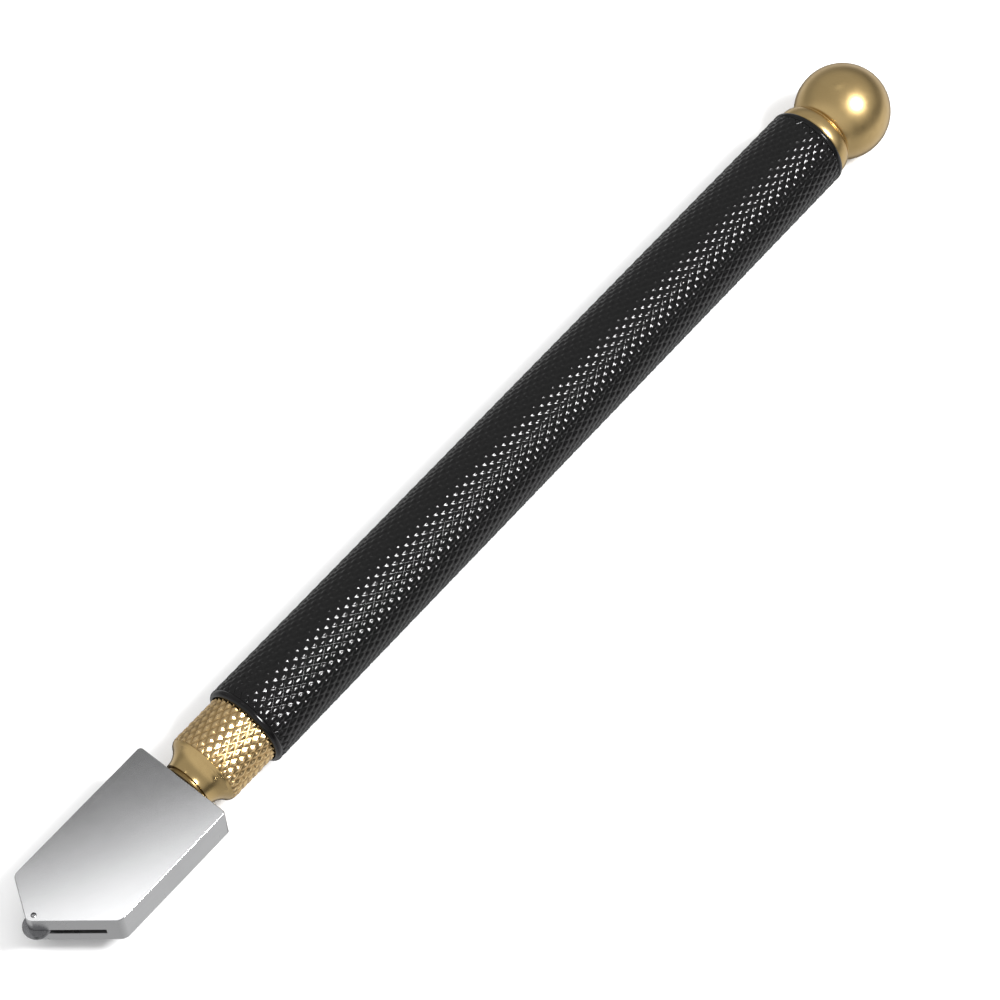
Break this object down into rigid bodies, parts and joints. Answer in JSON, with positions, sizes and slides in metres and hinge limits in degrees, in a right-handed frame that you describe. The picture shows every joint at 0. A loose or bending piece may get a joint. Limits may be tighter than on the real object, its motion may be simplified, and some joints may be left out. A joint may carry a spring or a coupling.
{
  "type": "oil-feed glass cutter",
  "caption": "Pencil-shaped oil-feed glass cutter: knurled metal barrel, brass nose and ball filler cap, wide pointed steel head with a small cutting wheel.",
  "frame": {"origin": "on the surface that the ball cap rests on, under the middle of the cutter", "axes": "+X along the handle from the cutting wheel towards the ball cap, +Z out of the head's polished face that shows the axle, which looks up when the cutter lies level"},
  "size_m": [0.1754, 0.0152, 0.0139],
  "materials": {
    "black_enamel": "glossy black enamel over a cut diamond knurl, smooth at both rims",
    "brass": "turned and lightly polished, satin",
    "knurled_brass": "bright polished brass with a coarse diamond knurl, darker in the grooves",
    "polished_steel": "mirror-polished broad faces, satin ground edges",
    "carbide": "dark ground carbide with a bright cutting edge",
    "spring_steel": "drawn or stamped steel, dull bright",
    "rubber": "matt black nitrile",
    "cotton": "twisted cotton, soaked in oil"
  },
  "bodies": {
    "handle": {"grip_barrel": "black_enamel", "thread_bush": "brass", "end_bush": "brass"},
    "nose_carriage": {"ferrule_seal": "rubber"},
    "nose": {"nose_ferrule": "knurled_brass", "stem_seal": "rubber", "valve_seal": "rubber", "return_spring": "spring_steel", "spring_retainer": "brass"},
    "valve": {"valve_washer": "spring_steel"},
    "head": {"cutter_head": "polished_steel", "head_stem": "brass", "stem_clip": "spring_steel", "oil_wick": "cotton", "wheel_axle": "spring_steel"},
    "wheel": {"cutting_wheel": "carbide"},
    "cap_carriage": {"cap_seal": "rubber"},
    "cap": {"ball_cap": "brass"}
  },
  "joints": [
    {"name": "nose_travel", "type": "slide", "parent": "handle", "child": "nose_carriage", "axis": [-1, 0, 0], "range_m": [0, 0.006]},
    {"name": "nose_turn", "type": "hinge", "parent": "nose_carriage", "child": "nose", "pos_m": [-0.048, 0, 0.00697], "axis": [-1, 0, 0], "range_deg": [0, 2161]},
    {"name": "head_press", "type": "slide", "parent": "nose", "child": "valve", "axis": [1, 0, 0], "range_m": [0, 0.0004], "stiffness_N_per_m": 2000, "springref_m": -0.002, "deforming": ["return_spring"]},
    {"name": "head_swivel", "type": "hinge", "parent": "valve", "child": "head", "pos_m": [-0.06, 0, 0.00697], "axis": [1, 0, 0], "continuous": true},
    {"name": "wheel_spin", "type": "hinge", "parent": "head", "child": "wheel", "pos_m": [-0.08575, 0.00166, 0.00697], "axis": [0, 0, 1], "continuous": true},
    {"name": "cap_travel", "type": "slide", "parent": "handle", "child": "cap_carriage", "axis": [1, 0, 0], "range_m": [0, 0.006]},
    {"name": "cap_turn", "type": "hinge", "parent": "cap_carriage", "child": "cap", "pos_m": [0.08, 0, 0.00697], "axis": [1, 0, 0], "range_deg": [0, 2161]}
  ],
  "couplings": [
    {"joint": "nose_turn", "follows": "nose_travel", "rad_per_m": 6283.2},
    {"joint": "cap_turn", "follows": "cap_travel", "rad_per_m": 6283.2}
  ]
}
